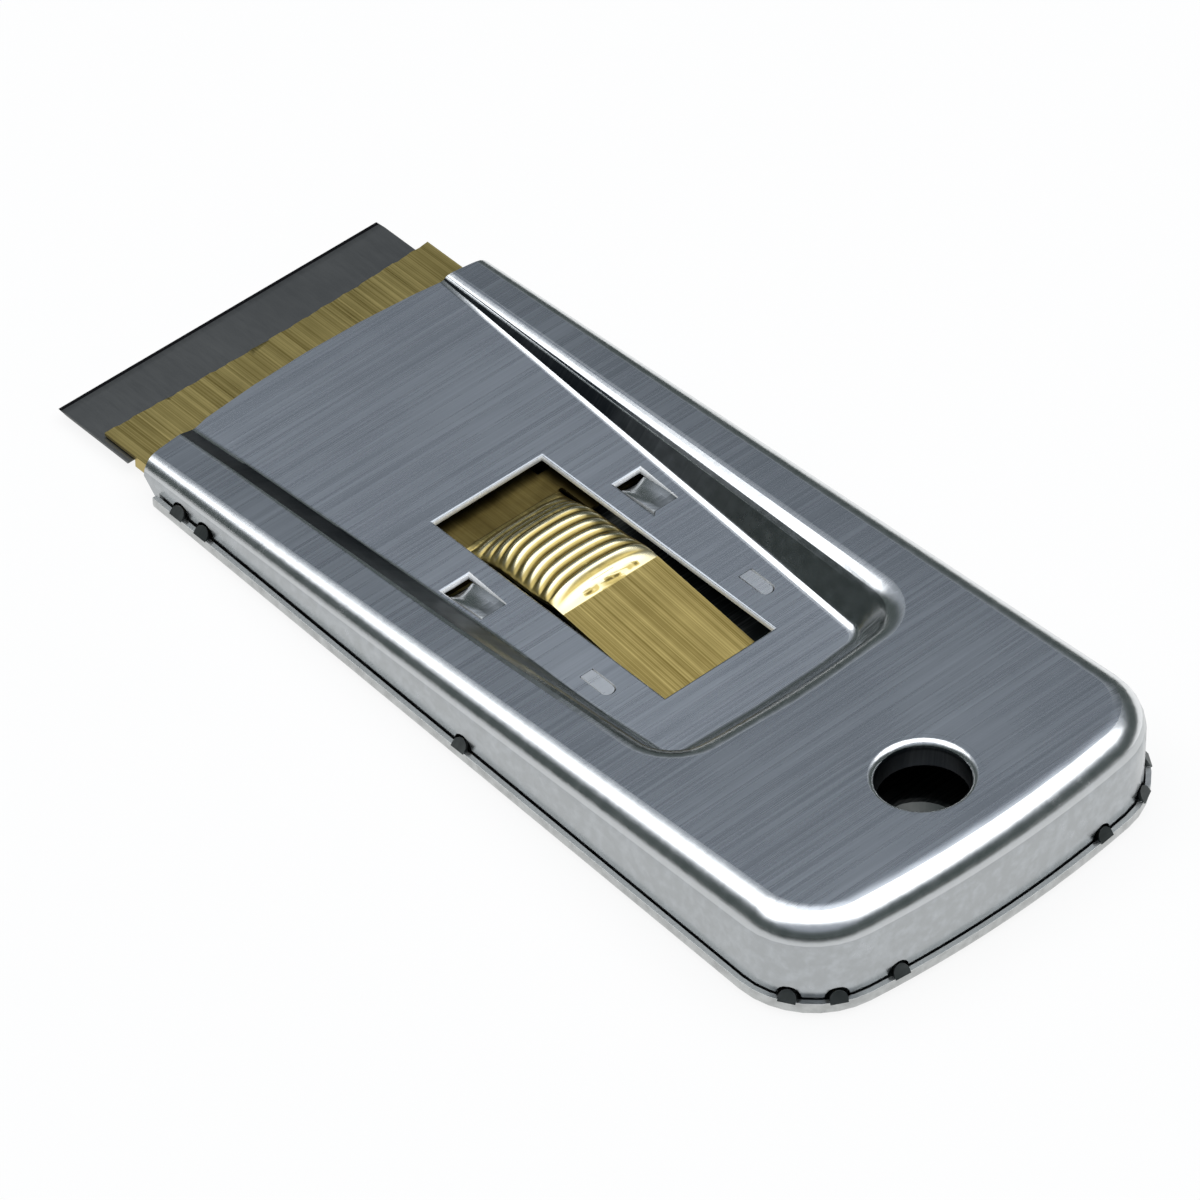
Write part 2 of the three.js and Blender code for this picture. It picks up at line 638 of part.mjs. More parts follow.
// A sheet of even thickness under a height field: the steeper it runs, the deeper it reaches below
function fieldSheet(xs, ys, height, thickness) {
  const probe = EMBED;
  const upper = [];
  const lower = [];
  for (const y of ys) {
    for (const x of xs) {
      const z = height(x, y);
      const slopeX = (height(x + probe, y) - height(x - probe, y)) / (2 * probe);
      const slopeY = (height(x, y + probe) - height(x, y - probe)) / (2 * probe);
      upper.push(new THREE.Vector3(x, y, z));
      lower.push(new THREE.Vector3(x, y, z - thickness * Math.hypot(1, slopeX, slopeY)));
    }
  }
  return gridShell(upper, lower, xs.length, ys.length);
}

// Two grids of points joined into one closed body
function gridShell(upper, lower, columns, rows) {
  const positions = [...upper, ...lower].flatMap((p) => [p.x, p.y, p.z]);
  const under = upper.length;
  const faces = [];
  const quad = (a, b, c, d) => faces.push(a, b, c, a, c, d);
  for (let j = 0; j < rows - 1; j += 1) {
    for (let i = 0; i < columns - 1; i += 1) {
      const a = j * columns + i;
      quad(a, a + columns, a + columns + 1, a + 1);
      quad(under + a, under + a + 1, under + a + columns + 1, under + a + columns);
    }
    const left = j * columns;
    const right = left + columns - 1;
    quad(left, under + left, under + left + columns, left + columns);
    quad(right, right + columns, under + right + columns, under + right);
  }
  const last = (rows - 1) * columns;
  for (let i = 0; i < columns - 1; i += 1) {
    quad(i, i + 1, under + i + 1, under + i);
    quad(last + i, under + last + i, under + last + i + 1, last + i + 1);
  }
  const geometry = new THREE.BufferGeometry();
  geometry.setAttribute('position', new THREE.Float32BufferAttribute(positions, 3));
  geometry.setIndex(faces);
  return geometry;
}

function thumbStrip() {
  const rows = Math.round(THUMB_LENGTH / RIDGE_PITCH * RIDGE_STEPS);
  const neck = -PLATE_REAR - SHOULDER_RUN;
  const ys = [neck, ...steps(rows, -THUMB_FRONT, thumbRear), tailRear];
  const xs = steps(CROWN_STEPS, -thumbHalf, thumbHalf);
  return asSolid(fieldSheet(xs, ys, stripHeight, BRASS));
}

function bladeCarrier() {
  const sides = [-1, 1];
  return joinAll([carrierPlate(), thumbStrip(), ...sides.map(carrierTab), ...sides.map(latchEar)]);
}

// Razor blade: ground to an edge at the front, notched at both ends, its rear inside the folded back

function razorBlade() {
  const half = BLADE_SHEET / 2;
  const rear = spineRear + SPINE_SHEET + SPINE_GAP;
  const profile = [[BLADE_REACH, bladeMiddle], [BLADE_REACH - GRIND_DEPTH, bladeMiddle + half],
    [rear, bladeMiddle + half], [rear, bladeMiddle - half], [BLADE_REACH - GRIND_DEPTH, bladeMiddle - half]];
  const left = -BLADE_WIDTH / 2 - BLADE_SIDE_PLAY;
  const right = left + BLADE_WIDTH;
  const plate = asSolid(across(profile, left, right));
  const front = TAB_FRONT + TAB_GAP;
  const back = TAB_FRONT - TAB_LENGTH - TAB_GAP;
  const notches = [left, right].map((end) => asSolid(
    prism(rectangle(end, NOTCH_DEPTH, front, back), 0, panelTop)));
  return plate.subtract(joinAll(notches));
}

// Folded back: a strip closed round the rear of the blade
function bladeSpine() {
  const outer = spineThickness / 2;
  const inner = outer - SPINE_SHEET;
  const centre = spineRear + outer;
  const arc = (radius, from, to) => steps(CORNER_STEPS, from, to).map((turn) => [
    centre - radius * Math.sin(turn), bladeMiddle + radius * Math.cos(turn)]);
  const lip = (offset) => [spineFront, bladeMiddle + offset];
  const fold = [lip(outer), ...arc(outer, 0, Math.PI), lip(-outer)];
  const hollow = [lip(-inner), ...arc(inner, Math.PI, 0), lip(inner)];
  const profile = [...fold, ...hollow];
  const left = -BLADE_WIDTH / 2 - BLADE_SIDE_PLAY;
  return asSolid(across(profile, left, left + BLADE_WIDTH));
}

// Assembly

function piece(name, solid, colour, roughness, metalness) {
  const material = new THREE.MeshStandardMaterial({ color: colour, roughness, metalness });
  const mesh = new THREE.Mesh(asGeometry(solid), material);
  mesh.name = name;
  return mesh;
}

const slide = new THREE.Group();
slide.rotation.x = -tilt;
slide.add(piece('blade_carrier', bladeCarrier(), 0xa89a55, 0.35, 1));
slide.add(piece('razor_blade', razorBlade(), 0x555a5a, 0.45, 1));
slide.add(piece('blade_spine', bladeSpine(), 0x8b8f93, 0.4, 1));

const scraper = new THREE.Group();
scraper.position.y = -caseMiddle;
scraper.add(piece('top_cover', topCover(), 0x70757f, 0.35, 1));
scraper.add(piece('bottom_tray', bottomTray(), 0x8d9191, 0.4, 1));
scraper.add(slide);

export default scraper;
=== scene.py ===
"""Looks of a pocket glass scraper: a stamped steel case with a brass carrier and a razor blade."""

import logging
import math
from dataclasses import dataclass, field
from enum import Enum

import bmesh
import bpy
from mathutils import Matrix, Vector


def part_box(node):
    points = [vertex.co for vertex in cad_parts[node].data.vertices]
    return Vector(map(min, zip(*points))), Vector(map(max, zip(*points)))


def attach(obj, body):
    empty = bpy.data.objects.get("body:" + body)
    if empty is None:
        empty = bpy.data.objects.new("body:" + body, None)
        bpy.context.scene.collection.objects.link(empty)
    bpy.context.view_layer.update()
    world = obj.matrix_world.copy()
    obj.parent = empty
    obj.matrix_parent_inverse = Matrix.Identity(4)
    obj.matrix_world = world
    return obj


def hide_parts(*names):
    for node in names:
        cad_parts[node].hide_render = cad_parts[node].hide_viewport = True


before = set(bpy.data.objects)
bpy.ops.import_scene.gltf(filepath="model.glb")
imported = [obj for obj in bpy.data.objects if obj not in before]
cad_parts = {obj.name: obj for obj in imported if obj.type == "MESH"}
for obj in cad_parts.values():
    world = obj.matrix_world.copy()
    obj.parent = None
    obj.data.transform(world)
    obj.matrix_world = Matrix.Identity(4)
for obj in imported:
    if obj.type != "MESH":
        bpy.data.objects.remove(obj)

LOG = logging.getLogger("scraper")
MM = 0.001
# share of the edge colour: pale cut faces that are partly painted highlight, and on the blade its
# honed line
CUT_AND_HIGHLIGHT = "cut_edge_and_highlight"
BRUSHED = "brushed"
# share of painted shade, with some tarnish on the neck, which mixes a face towards the shadow
# colour
PAINTED_SHADE_AND_TARNISH = "painted_shade_and_tarnish"
# share of the painted highlight on tilted rounds and lance tops
PAINTED_HIGHLIGHT = "painted_highlight"
RIDGE = "ridge"

MEAN = 0.5
HOLE_Y = -35.164 * MM
MERGE_SLACK = 0.0005 * MM
CUT_SLACK = 0.0001 * MM

Colour = tuple[float, float, float, float]
Span = tuple[float, float]
Waves = tuple[tuple[float, float, float], ...]


class Grain(Enum):
    """Way in which a sheet was rolled or brushed."""

    ACROSS = (1.0, 0.0)
    ALONG = (0.0, 1.0)


class Pattern(Enum):
    """Detail of each noise, and a shift that keeps it apart from the others."""

    FINE = (2.0, 0.0)
    COARSE = (2.0, 3.7)
    CLOUD = (3.0, 1.3)
    MOTTLE = (3.0, 5.1)


def held(value: float) -> float:
    """A share kept between 0 and 1."""
    return min(max(value, 0.0), 1.0)


def eased(share: float) -> float:
    """A share that starts and ends slowly."""
    return share * share * (3 - 2 * share)


def within(value: float, span: Span) -> bool:
    """Whether a value lies inside a span."""
    return span[0] < value < span[1]


def uneven(x: float, waves: Waves) -> float:
    """Sum of sine waves along a line.

    Args:
        x: the place, in metres.
        waves: height, turn per millimetre and start of each wave.

    Returns:
        The sum.
    """
    return sum(height * math.sin(x / MM * turn + start) for height, turn, start in waves)


class Value:
    """A number socket whose arithmetic adds Math nodes to its sheet."""

    def __init__(self, sheet: "Sheet", socket: bpy.types.NodeSocket) -> None:
        """Keeps the socket and the sheet that it belongs to.

        Args:
            sheet: the node sheet that new Math nodes go on.
            socket: the output socket that carries the number.
        """
        self.sheet = sheet
        self.socket = socket

    def _math(self, operation: str, first: "Value | float", second: "Value | float") -> "Value":
        """Adds one Math node.

        Args:
            operation: the node's operation.
            first: the left-hand operand.
            second: the right-hand operand.

        Returns:
            The node's result.
        """
        made = self.sheet.node("ShaderNodeMath", {"operation": operation}, {0: first, 1: second})
        return Value(self.sheet, made.outputs[0])

    def __add__(self, other: "Value | float") -> "Value":
        """Sum."""
        return self._math("ADD", self, other)

    def __radd__(self, other: float) -> "Value":
        """Sum with a plain number on the left."""
        return self._math("ADD", other, self)

    def __sub__(self, other: "Value | float") -> "Value":
        """Difference."""
        return self._math("SUBTRACT", self, other)

    def __rsub__(self, other: float) -> "Value":
        """Difference from a plain number."""
        return self._math("SUBTRACT", other, self)

    def __mul__(self, other: "Value | float") -> "Value":
        """Product."""
        return self._math("MULTIPLY", self, other)

    def __rmul__(self, other: float) -> "Value":
        """Product with a plain number on the left."""
        return self._math("MULTIPLY", other, self)

    def above(self, low: float, high: float) -> "Value":
        """Share of the way from one level to another, kept between 0 and 1.

        Args:
            low: the level that gives 0.
            high: the level that gives 1.

        Returns:
            The smooth share.
        """
        settings = {"interpolation_type": "SMOOTHSTEP"}
        made = self.sheet.node("ShaderNodeMapRange", settings, {"Value": self, 1: low, 2: high})
        return Value(self.sheet, made.outputs[0])

    def most(self, other: "Value | float") -> "Value":
        """Larger of two numbers."""
        return self._math("MAXIMUM", self, other)


class Sheet:
    """A node sheet of a material or of the world."""

    NOISE_ROUGHNESS: float = 0.55

    def __init__(self, tree: bpy.types.NodeTree) -> None:
        """Starts from an empty tree.

        Args:
            tree: the node tree to fill.
        """
        self.tree = tree
        tree.nodes.clear()

    def node(self, kind: str, settings: dict | None = None,
             sockets: dict | None = None) -> bpy.types.Node:
        """Adds one node.

        Args:
            kind: the node's type.
            settings: properties that are set first.
            sockets: values or links of its inputs, by name or number.

        Returns:
            The new node.
        """
        made = self.tree.nodes.new(kind)
        for key, value in (settings or {}).items():
            setattr(made, key, value)
        for key, value in (sockets or {}).items():
            source = value.socket if isinstance(value, Value) else value
            if isinstance(source, bpy.types.NodeSocket):
                self.tree.links.new(source, made.inputs[key])
            else:
                made.inputs[key].default_value = source
        return made

    def place(self) -> bpy.types.NodeSocket:
        """Object coordinates, in metres."""
        return self.node("ShaderNodeTexCoord").outputs["Object"]

    def attribute(self, name: str) -> Value:
        """A number that the piece's mesh carries.

        Args:
            name: the attribute's name.

        Returns:
            Its value.
        """
        made = self.node("ShaderNodeAttribute", {"attribute_name": name})
        return Value(self, made.outputs["Fac"])

    def noise(self, pitch: Vector, pattern: Pattern) -> Value:
        """Soft noise with its own pitch along each axis.

        Args:
            pitch: the size of one wave along X, Y and Z, in metres.
            pattern: its detail and its shift.

        Returns:
            The noise, about 0 to 1.
        """
        detail, shift = pattern.value
        scale = Vector((1 / pitch.x, 1 / pitch.y, 1 / pitch.z))
        turned = self.node("ShaderNodeMapping", None, {
            "Vector": self.place(), "Scale": scale, "Location": Vector((shift, shift, shift))})
        made = self.node("ShaderNodeTexNoise", None, {
            "Vector": turned.outputs[0], "Scale": 1.0, "Detail": detail,
            "Roughness": self.NOISE_ROUGHNESS})
        return Value(self, made.outputs[0])

    def mix(self, share: Value, first: Colour | bpy.types.NodeSocket,
            second: Colour | bpy.types.NodeSocket) -> bpy.types.NodeSocket:
        """Blends two colours.

        Args:
            share: 0 for the first and 1 for the second.
            first: a colour or its socket.
            second: a colour or its socket.

        Returns:
            The blended colour's socket.
        """
        made = self.node("ShaderNodeMix", {"data_type": "RGBA"}, {0: share, 6: first, 7: second})
        return made.outputs[2]


@dataclass(frozen=True)
class MetalFinish:
    """A sheet metal with rolled or brushed grain, faint clouds, pale cut edges, and painted
    highlights and shade.

    The mesh carries how brushed and how freshly cut each face is, and how much painted highlight
    and painted shade it takes: grain lies on brushed faces; drawn walls are glossier, mottled by
    the die, darkened as painted shade and tinted; tilted rounds take the highlight colour as a
    painted highlight, faces with painted shade the shadow colour, and cut faces the edge colour,
    which also paints highlights.
    """

    name: str
    colour: Colour
    dull: Colour
    edge: Colour
    grain: Grain
    grain_pitch: float
    grain_length: float
    grain_coarse: float
    grain_depth: float
    grain_contrast: float
    roughness: float
    cloud: float
    cloud_contrast: float
    shadow: Colour = (0.05, 0.055, 0.055, 1)
    edge_roughness: float = 0.22
    shadow_roughness: float = 0.5
    edge_scatter: float = 0.0
    rolled_gloss: float = 0.0
    # darkening of steep faces: painted shade
    painted_wall_shade: float = 0.0
    # share of the edge colour on ridge crests: partly thumb wear, partly painted highlight
    crest_wear_and_highlight: float = 0.0
    # colour of the painted highlight
    highlight_colour: Colour = (0.8, 0.82, 0.83, 1)
    wall: Colour = (0.4, 0.4, 0.4, 1)
    wall_share: float = 0.0
    mottle: float = 0.0
    mottle_pitch: float = 1.1 * MM
    mottle_height: float = 0.0
    mottle_rough: float = 0.15
    fine_share: float = 0.6
    streak_rough: float = 0.2
    cloud_rough: float = 0.1
    # how far grain and clouds break up the painted shade
    streak_in_shade: float = 1.6
    cloud_in_shade: float = 0.8
    ridge_levels: Span = (0.1, 0.9)
    # share of painted shade in the grooves and dents
    groove_shade: float = 0.85

    def pitch(self, factor: float = 1.0) -> Vector:
        """Size of one grain wave along each axis.

        Args:
            factor: scales the fine pitch.

        Returns:
            The pitch along X, Y and Z, in metres.
        """
        across, along = self.grain.value
        fine = self.grain_pitch * factor
        x = self.grain_length if across else fine
        y = self.grain_length if along else fine
        return Vector((x, y, self.grain_length))

    def wear_and_painted_light(self, sheet: Sheet) -> tuple[Value, Value]:
        """How much edge colour cut edges and crests take, and how much shadow colour goes where
        shade is painted: on crests partly thumb wear and partly painted highlight, in grooves
        painted shade.

        Args:
            sheet: the material's sheet.

        Returns:
            The share of the edge colour and the share of the shadow colour.
        """
        cut_and_highlight = sheet.attribute(CUT_AND_HIGHLIGHT)
        painted_shade_and_tarnish = sheet.attribute(PAINTED_SHADE_AND_TARNISH)
        if self.crest_wear_and_highlight:
            ridge = sheet.attribute(RIDGE)
            # crests take the edge colour, partly thumb wear and partly painted highlight; grooves
            # and dents take painted shade
            cut_and_highlight = cut_and_highlight.most(ridge.above(*self.ridge_levels) * self.crest_wear_and_highlight)
            painted_shade_and_tarnish = painted_shade_and_tarnish.most((0 - ridge).above(*self.ridge_levels) * self.groove_shade)
        return cut_and_highlight, painted_shade_and_tarnish

    def material(self) -> bpy.types.Material:
        """Makes the node material.

        Returns:
            The material.
        """
        made = bpy.data.materials.new(self.name)
        made.use_nodes = True
        sheet = Sheet(made.node_tree)
        brushed = sheet.attribute(BRUSHED)
        cut_and_highlight, painted_shade_and_tarnish = self.wear_and_painted_light(sheet)
        fine = sheet.noise(self.pitch(), Pattern.FINE)
        coarse = sheet.noise(self.pitch(self.grain_coarse), Pattern.COARSE)
        streak = (fine * self.fine_share + coarse * (1 - self.fine_share) - MEAN) * brushed
        cloud = sheet.noise(Vector((self.cloud,) * 3), Pattern.CLOUD) - MEAN
        wall = 1 - brushed
        spots = (sheet.noise(Vector((self.mottle_pitch,) * 3), Pattern.MOTTLE) - MEAN) * wall
        shade = MEAN + streak * self.grain_contrast + cloud * self.cloud_contrast
        shade = shade + spots * self.mottle
        # steep faces are darkened as painted shade, then tinted with the wall colour
        shade = (shade - wall * self.painted_wall_shade).above(0.0, 1.0)
        plain = sheet.mix(shade, self.dull, self.colour)
        plain = sheet.mix(wall * self.wall_share, plain, self.wall)
        # tilted rounds take the painted highlight colour
        plain = sheet.mix(sheet.attribute(PAINTED_HIGHLIGHT), plain, self.highlight_colour)
        # painted shade mixes the colour towards the shadow colour, broken up by the grain
        depth = painted_shade_and_tarnish * (1 - streak * self.streak_in_shade - cloud * self.cloud_in_shade)
        shaded = sheet.mix(depth, plain, self.shadow)
        # cut faces, lit lance walls and crests take the edge colour: pale cut metal and painted
        # highlight
        colour = sheet.mix(cut_and_highlight, shaded, self.edge)
        rough = self.roughness + streak * self.streak_rough + cloud * self.cloud_rough
        rough = rough + spots * self.mottle_rough - wall * self.rolled_gloss
        rough = rough + painted_shade_and_tarnish * (self.shadow_roughness - self.roughness)
        rough = rough * (1 - cut_and_highlight) + cut_and_highlight * self.edge_roughness
        bump = sheet.node("ShaderNodeBump", None, {
            "Strength": 1.0, "Distance": self.grain_depth,
            "Height": streak + spots * (self.mottle_height / self.grain_depth)})
        shader = sheet.node("ShaderNodeBsdfPrincipled", None, {
            "Base Color": colour, "Metallic": 1 - cut_and_highlight * self.edge_scatter, "Roughness": rough,
            "Normal": bump.outputs[0]})
        sheet.node("ShaderNodeOutputMaterial", None, {"Surface": shader.outputs[0]})
        return made


# cut faces are painted near white, partly pale sheared steel and partly painted highlight; the
# shadow colour is painted shade in the bore and on the panel's side walls
BRUSHED_CASE = MetalFinish(
    name="brushed_case", colour=(0.48, 0.515, 0.56, 1), dull=(0.335, 0.36, 0.385, 1),
    edge=(0.92, 0.93, 0.93, 1), shadow=(0.022, 0.027, 0.032, 1), wall=(0.46, 0.47, 0.455, 1),
    grain=Grain.ACROSS, grain_pitch=0.17 * MM, grain_length=30 * MM, grain_coarse=3.5,
    grain_depth=0.0008 * MM, grain_contrast=1.3, roughness=0.28, cloud=16 * MM, cloud_contrast=0.3,
    edge_roughness=0.42, edge_scatter=0.75, rolled_gloss=0.05, painted_wall_shade=0.2, wall_share=0.5,
    mottle=2.2, mottle_height=0.012 * MM)
# the shadow colour is painted shade on the crimp tabs and in the bore
SATIN_TRAY = MetalFinish(
    name="satin_tray", colour=(0.54, 0.555, 0.55, 1), dull=(0.38, 0.39, 0.385, 1),
    edge=(0.70, 0.72, 0.72, 1), shadow=(0.05, 0.06, 0.06, 1),
    grain=Grain.ACROSS, grain_pitch=0.25 * MM, grain_length=9 * MM, grain_coarse=5.0,
    grain_depth=0.0006 * MM, grain_contrast=0.8, roughness=0.30, cloud=6 * MM, cloud_contrast=0.4,
    mottle=2.0, mottle_height=0.01 * MM)
# the edge colour also paints the highlight on the thumb rest's crests; the shadow colour paints
# shade in the grooves and dents, painted shadow with tarnish on the neck, and darkens the tail
ROLLED_BRASS = MetalFinish(
    name="rolled_brass", colour=(0.62, 0.50, 0.195, 1), dull=(0.265, 0.20, 0.056, 1),
    edge=(0.92, 0.86, 0.60, 1), shadow=(0.10, 0.072, 0.02, 1),
    grain=Grain.ALONG, grain_pitch=0.17 * MM, grain_length=60 * MM, grain_coarse=2.4,
    grain_depth=0.0012 * MM, grain_contrast=2.4, roughness=0.31, cloud=5 * MM, cloud_contrast=0.25,
    edge_roughness=0.26, shadow_roughness=0.42, crest_wear_and_highlight=0.9)
DARK_BLADE = MetalFinish(
    name="dark_blade", colour=(0.135, 0.14, 0.139, 1), dull=(0.11, 0.114, 0.114, 1),
    edge=(0.012, 0.012, 0.014, 1),
    grain=Grain.ALONG, grain_pitch=0.12 * MM, grain_length=2.5 * MM, grain_coarse=5.0,
    grain_depth=0.0005 * MM, grain_contrast=0.8, roughness=0.42, cloud=7 * MM, cloud_contrast=0.4,
    edge_roughness=0.5)
FOLDED_SPINE = MetalFinish(
    name="folded_spine", colour=(0.55, 0.57, 0.58, 1), dull=(0.35, 0.36, 0.37, 1),
    edge=(0.7, 0.71, 0.72, 1),
    grain=Grain.ACROSS, grain_pitch=0.2 * MM, grain_length=8 * MM, grain_coarse=5.0,
    grain_depth=0.001 * MM, grain_contrast=1.0, roughness=0.38, cloud=5 * MM, cloud_contrast=0.4)


@dataclass
class Stamping:
    """One sheet-metal piece, taken from its solid with its cut edges softened."""

    node: str
    body: str
    slot: str
    finish: MetalFinish
    edge_radius: float = 0.05 * MM
    edge_segments: int = 2
    rolled_radius: float = 0.0
    rolled_segments: int = 4
    rolled_level: float = 0.7
    sharp_angle: float = 38.0
    flat_angle: float = 0.25
    brushed_tilt: float = 8.0
    wall_grain: float = 0.12
    # share and tilt span of the painted highlight on rounds
    highlight_share: float = 0.0
    highlight_tilt: tuple[float, float, float, float] = (5.0, 9.0, 55.0, 75.0)
    shading_weight: int = 80

    @staticmethod
    def score(mesh: bmesh.types.BMesh, faces: list[bmesh.types.BMFace], place: Vector,
              way: Vector) -> None:
        """Cuts faces in two along a plane.

        Args:
            mesh: the piece's mesh.
            faces: the faces to cut.
            place: a point of the plane.
            way: the plane's normal.
        """
        edges = {edge for face in faces for edge in face.edges}
        verts = {vert for face in faces for vert in face.verts}
        bmesh.ops.bisect_plane(mesh, geom=[*faces, *edges, *verts], dist=CUT_SLACK, plane_co=place,
                               plane_no=way)

    def shape(self, mesh: bmesh.types.BMesh) -> None:
        """Shapes the merged solid further, before its edges are softened.

        Args:
            mesh: the piece's mesh.
        """

    def rolled(self, edge: bmesh.types.BMEdge) -> bool:
        """Whether the punch rolled this edge over further than the others.

        Args:
            edge: a sharp edge.

        Returns:
            True where it did.
        """
        return False

    def drawn(self, edge: bmesh.types.BMEdge) -> bool:
        """Whether an edge is only a line of a drawn shape, which no cut made sharp.

        Args:
            edge: a sharp edge.

        Returns:
            True where it is.
        """
        return False

    def mark(self, mesh: bmesh.types.BMesh) -> None:
        """Marks cut faces, painted highlights and painted shade, after the edges are softened.

        Args:
            mesh: the piece's mesh.
        """

    def build(self) -> bpy.types.Object:
        """Makes the finished mesh.

        Returns:
            The new object.
        """
        mesh = bmesh.new()
        mesh.from_mesh(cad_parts[self.node].data)
        bmesh.ops.remove_doubles(mesh, verts=mesh.verts, dist=MERGE_SLACK)
        bmesh.ops.dissolve_limit(mesh, angle_limit=math.radians(self.flat_angle),
                                 verts=mesh.verts, edges=mesh.edges)
        self.shape(mesh)
        self.soften(mesh)
        self.mark(mesh)
        self.settle(mesh)
        data = bpy.data.meshes.new(self.node + "_finished")
        mesh.to_mesh(data)
        mesh.free()
        made = bpy.data.objects.new(self.node + "_finished", data)
        bpy.context.scene.collection.objects.link(made)
        return made

    def soften(self, mesh: bmesh.types.BMesh) -> None:
        """Rounds the cut edges and notes them, the brushed faces, the painted highlight on tilted
        rounds and the smooth shading.

        Args:
            mesh: the piece's mesh.
        """
        limit = math.radians(self.sharp_angle)
        cut_and_highlight = mesh.faces.layers.float.new(CUT_AND_HIGHLIGHT)
        brushed = mesh.faces.layers.float.new(BRUSHED)
        painted_highlight = mesh.faces.layers.float.new(PAINTED_HIGHLIGHT)
        mesh.faces.layers.float.new(PAINTED_SHADE_AND_TARNISH)
        start, full, less, end = self.highlight_tilt
        for face in mesh.faces:
            face.smooth = True
            tilt = math.degrees(face.normal.angle(Vector((0, 0, 1)), 0))
            face[brushed] = 1.0 if tilt < self.brushed_tilt else self.wall_grain
            # faces tilted into the rounds take a painted highlight
            share = min((tilt - start) / (full - start), (end - tilt) / (end - less), 1.0)
            face[painted_highlight] = self.highlight_share * max(share, 0.0)
        for rolled, offset, segments in ((True, self.rolled_radius, self.rolled_segments),
                                         (False, self.edge_radius, self.edge_segments)):
            sharp = [edge for edge in mesh.edges if edge.is_manifold
                     and edge.calc_face_angle(0) > limit and not self.drawn(edge)]
            chosen = [edge for edge in sharp if not rolled or self.rolled(edge)]
            made = bmesh.ops.bevel(mesh, geom=chosen, offset=offset, offset_type="OFFSET",
                                   segments=segments, profile=0.5, affect="EDGES",
                                   clamp_overlap=not rolled, material=-1)
            # bevelled faces take the edge colour, partly pale cut metal and partly painted
            # highlight; the upper faces of rolled rims do not
            for face in made["faces"]:
                face.smooth = True
                face[cut_and_highlight] = 0.0 if rolled and face.normal.z > self.rolled_level else 1.0
        for edge in mesh.edges:
            edge.smooth = edge.is_manifold and (edge.calc_face_angle(0) < limit or self.drawn(edge))

    @staticmethod
    def settle(mesh: bmesh.types.BMesh) -> None:
        """Lists the faces in a fixed order, because a bevel's own order changes from run to run.

        Args:
            mesh: the piece's mesh.
        """
        mesh.verts.index_update()
        order = sorted(mesh.faces, key=lambda face: sorted(vert.index for vert in face.verts))
        rank = {face: place for place, face in enumerate(order)}
        mesh.faces.sort(key=rank.get)

    def dress(self, made: bpy.types.Object) -> bpy.types.Object:
        """Gives the piece its finish, its body and its shading.

        Args:
            made: the built object.

        Returns:
            The same object.
        """
        made.data.materials.clear()
        made.data.materials.append(self.finish.material())
        weighted = made.modifiers.new("even_shading", "WEIGHTED_NORMAL")
        weighted.keep_sharp = True
        weighted.weight = self.shading_weight
        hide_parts(self.node)
        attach(made, self.body)
        LOG.info("%s: %d faces on %s", made.name, len(made.data.polygons), self.body)
        return made


@dataclass
class RecessWall:
    """The side walls of the sunk panel, whose edges are straight lines along the cover."""

    lid_half: Span = (15.880 * MM, 0.021234)
    panel_half: Span = (11.928 * MM, 0.07362)
    lid_height: Span = (7.2195 * MM, -0.06851)
    panel_height: Span = (4.3237 * MM, -0.016064)
    rounding: float = 0.25
    rows: tuple[float, ...] = tuple(y * MM for y in (*range(-8, 20, 2), 20, 26, 32, 38))
    upper_level: float = 0.3
    rear_reach: float = 10 * MM
    edge_slack: float = 0.01
    foot_shift: float = 0.7 * MM
    lid_shift: float = 0.6 * MM
    lid_run: Span = (8 * MM, 38 * MM)
    fade_run: float = 16 * MM
    dark_share: float = 0.97
    dark_y: Span = (-6 * MM, 20 * MM)

    @staticmethod
    def along(line: Span, y: float) -> float:
        """Value of a straight line at a place along the cover.

        Args:
            line: its value at the middle and its slope.
            y: the place.

        Returns:
            The value there.
        """
        return line[0] + line[1] * y

    def share(self, place: Vector) -> float:
        """How far across a wall a place lies, from 0 at the lid to 1 at the panel."""
        lid = self.along(self.lid_half, place.y)
        return (lid - abs(place.x)) / (lid - self.along(self.panel_half, place.y))

    def holds(self, face: bmesh.types.BMFace) -> bool:
        """Whether a face lies on the upper side of a wall.

        Args:
            face: a face of the cover.

        Returns:
            True where it does.
        """
        rear = self.rows[0] - self.rear_reach
        if face.normal.z < self.upper_level or face.calc_center_median().y < rear:
            return False
        span = (-self.edge_slack, 1 + self.edge_slack)
        return all(within(self.share(vert.co), span) for vert in face.verts)

    def sunk(self, place: Vector) -> float:
        """How far a place lies below the panel's upper side."""
        return self.along(self.panel_height, place.y) - place.z

    def dark(self, y: float) -> float:
        """How much painted shade the walls take, less towards the rear."""
        rear, front = self.dark_y
        return self.dark_share * held((y - rear) / (front - rear))

    def redrawn(self, place: Vector) -> Vector:
        """Place of the left wall, which is wide and has an even slope between two small rounds.

        Args:
            place: a point of the wall's upper side.

        Returns:
            Its new place.
        """
        share = held(self.share(place))
        near = min(share, 1 - share)
        if near < self.rounding:
            drop = near * near / (2 * self.rounding * (1 - self.rounding))
        else:
            drop = (near - self.rounding / 2) / (1 - self.rounding)
        drop = drop if share < 0.5 else 1 - drop
        lid = self.along(self.lid_height, place.y)
        even = lid - drop * (lid - self.along(self.panel_height, place.y))
        part = eased(held((place.y - self.rows[0]) / self.fade_run))
        rear, front = self.lid_run
        forward = held((place.y - rear) / (front - rear))
        inward = self.lid_shift * forward + self.foot_shift * share
        return place + part * Vector((inward, 0, even - place.z))


